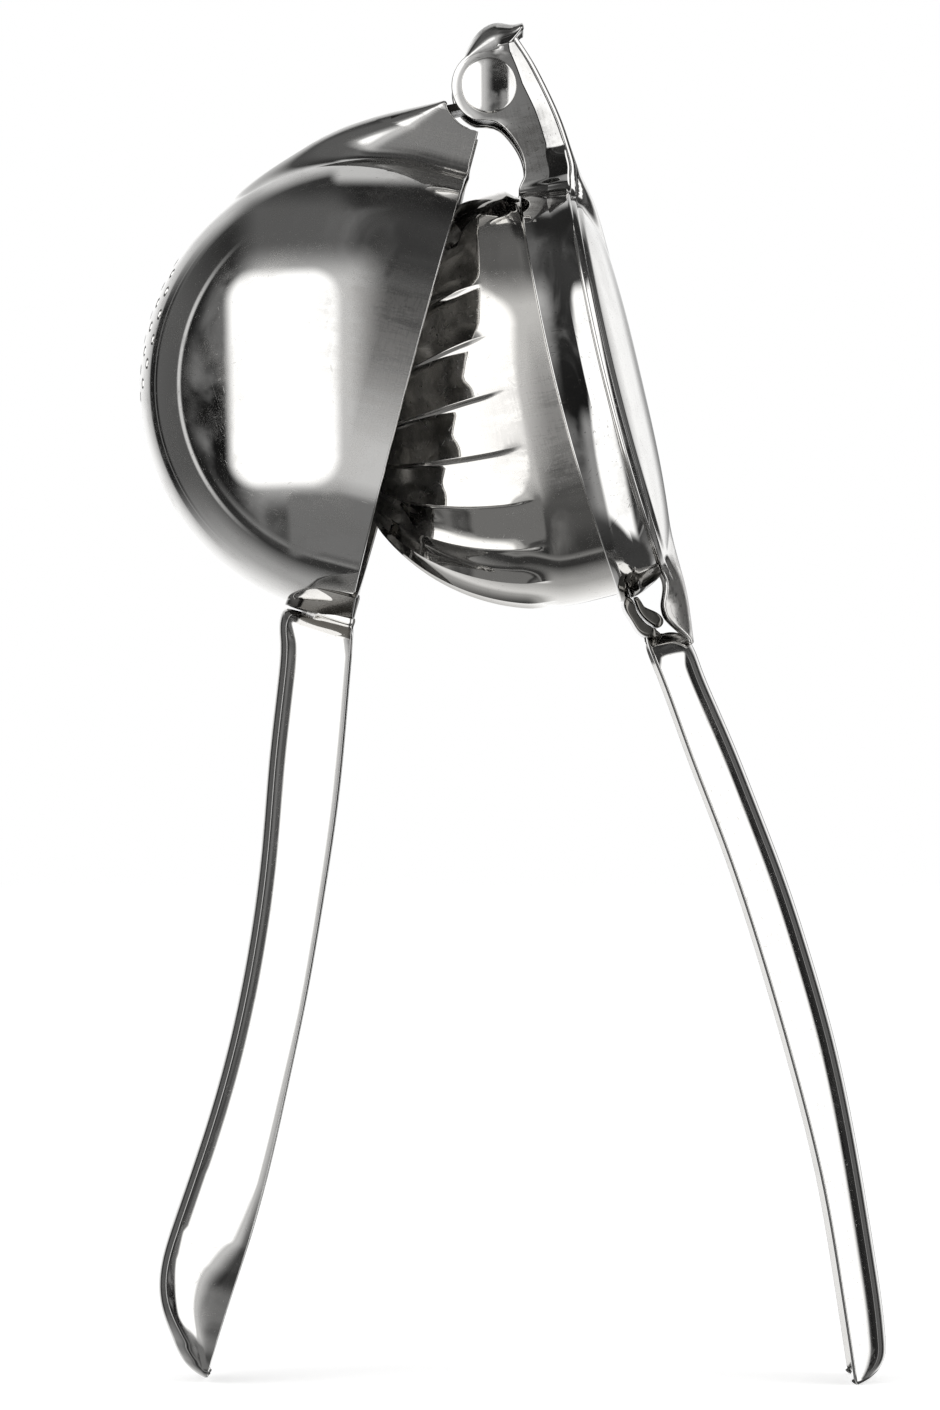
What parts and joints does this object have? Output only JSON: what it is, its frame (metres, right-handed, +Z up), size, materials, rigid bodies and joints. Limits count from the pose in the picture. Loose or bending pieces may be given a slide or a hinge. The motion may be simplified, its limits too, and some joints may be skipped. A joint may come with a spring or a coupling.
{
  "type": "hinged lemon squeezer",
  "caption": "Hand squeezer of polished steel: a perforated half bowl and a fluted press dome on two long tray-shaped handles, hinged at the top by a rivet pin.",
  "frame": {"origin": "centre of the footprint on the plane that the two handle tips stand on", "axes": "+Z up from the handle tips to the hinge, +Y along the hinge pin from its domed head to its peened end, +X from the bowl arm to the press arm"},
  "size_m": [0.1194, 0.074, 0.217],
  "materials": {
    "polished_shell": "mirror polished stainless steel with fine scratches",
    "polished_handle": "mirror polished stainless steel",
    "polished_frame": "polished stainless steel with tumbling marks",
    "fluted_dome": "polished stainless steel, worn on its band",
    "plain_steel": "unpolished stainless steel",
    "rivet_steel": "polished turned steel"
  },
  "bodies": {
    "bowl_arm": {"strainer_bowl": "polished_shell", "bowl_knuckle": "plain_steel", "bowl_tang": "plain_steel", "bowl_handle": "polished_handle"},
    "press_arm": {"press_frame": "polished_frame", "press_dome": "fluted_dome", "back_cover": "polished_shell", "press_tang": "plain_steel", "press_handle": "polished_handle", "hinge_pin": "rivet_steel", "pin_washer": "rivet_steel"}
  },
  "joints": [
    {"name": "arm_hinge", "type": "hinge", "parent": "bowl_arm", "child": "press_arm", "pos_m": [-0.00387, 0, 0.20632], "axis": [0, -1, 0], "range_deg": [-27.5, 60]}
  ]
}
